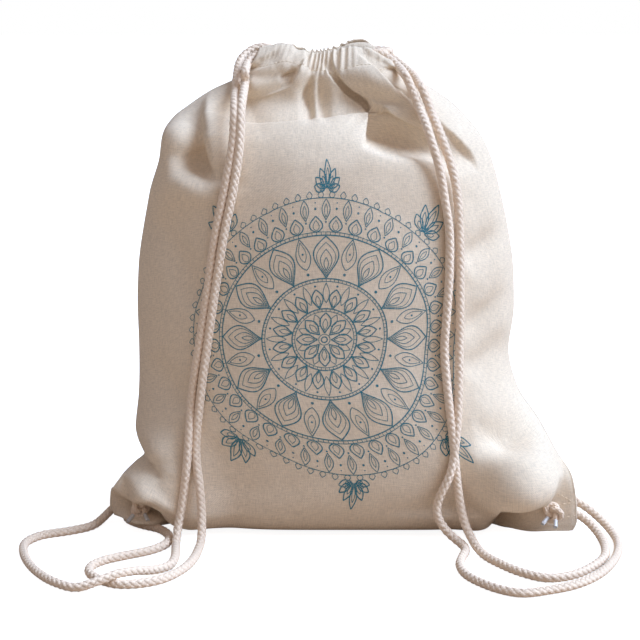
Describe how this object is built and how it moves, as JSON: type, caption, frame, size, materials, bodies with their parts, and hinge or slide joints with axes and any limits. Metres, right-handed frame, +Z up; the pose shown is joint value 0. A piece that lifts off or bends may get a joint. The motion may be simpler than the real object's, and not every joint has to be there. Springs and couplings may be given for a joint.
{
  "type": "drawstring gym bag",
  "caption": "Stuffed cotton drawstring bag standing upright, mouth drawn shut by gathered tunnels, with braided shoulder cords down its front knotted through the corner ears.",
  "frame": {"origin": "on the floor, below the middle of the bag without its free cords", "axes": "+Z up, -Y out of the printed front, +X to the right as seen from the front"},
  "size_m": [0.4518, 0.2868, 0.3719],
  "materials": {
    "cotton": "plain weave, unbleached",
    "cord": "braided cotton",
    "cord_tip": "clear shrunk tube"
  },
  "bodies": {
    "root": {"front_panel": "cotton", "back_panel": "cotton", "front_tunnel": "cotton", "back_tunnel": "cotton", "left_cord_run": "cord", "right_cord_run": "cord", "left_outer_strand": "cord", "left_inner_strand": "cord", "right_outer_strand": "cord", "right_inner_strand": "cord", "left_knot": "cord", "right_knot": "cord", "left_tip_a": "cord_tip", "left_tip_b": "cord_tip", "right_tip_a": "cord_tip", "right_tip_b": "cord_tip"}
  },
  "joints": []
}
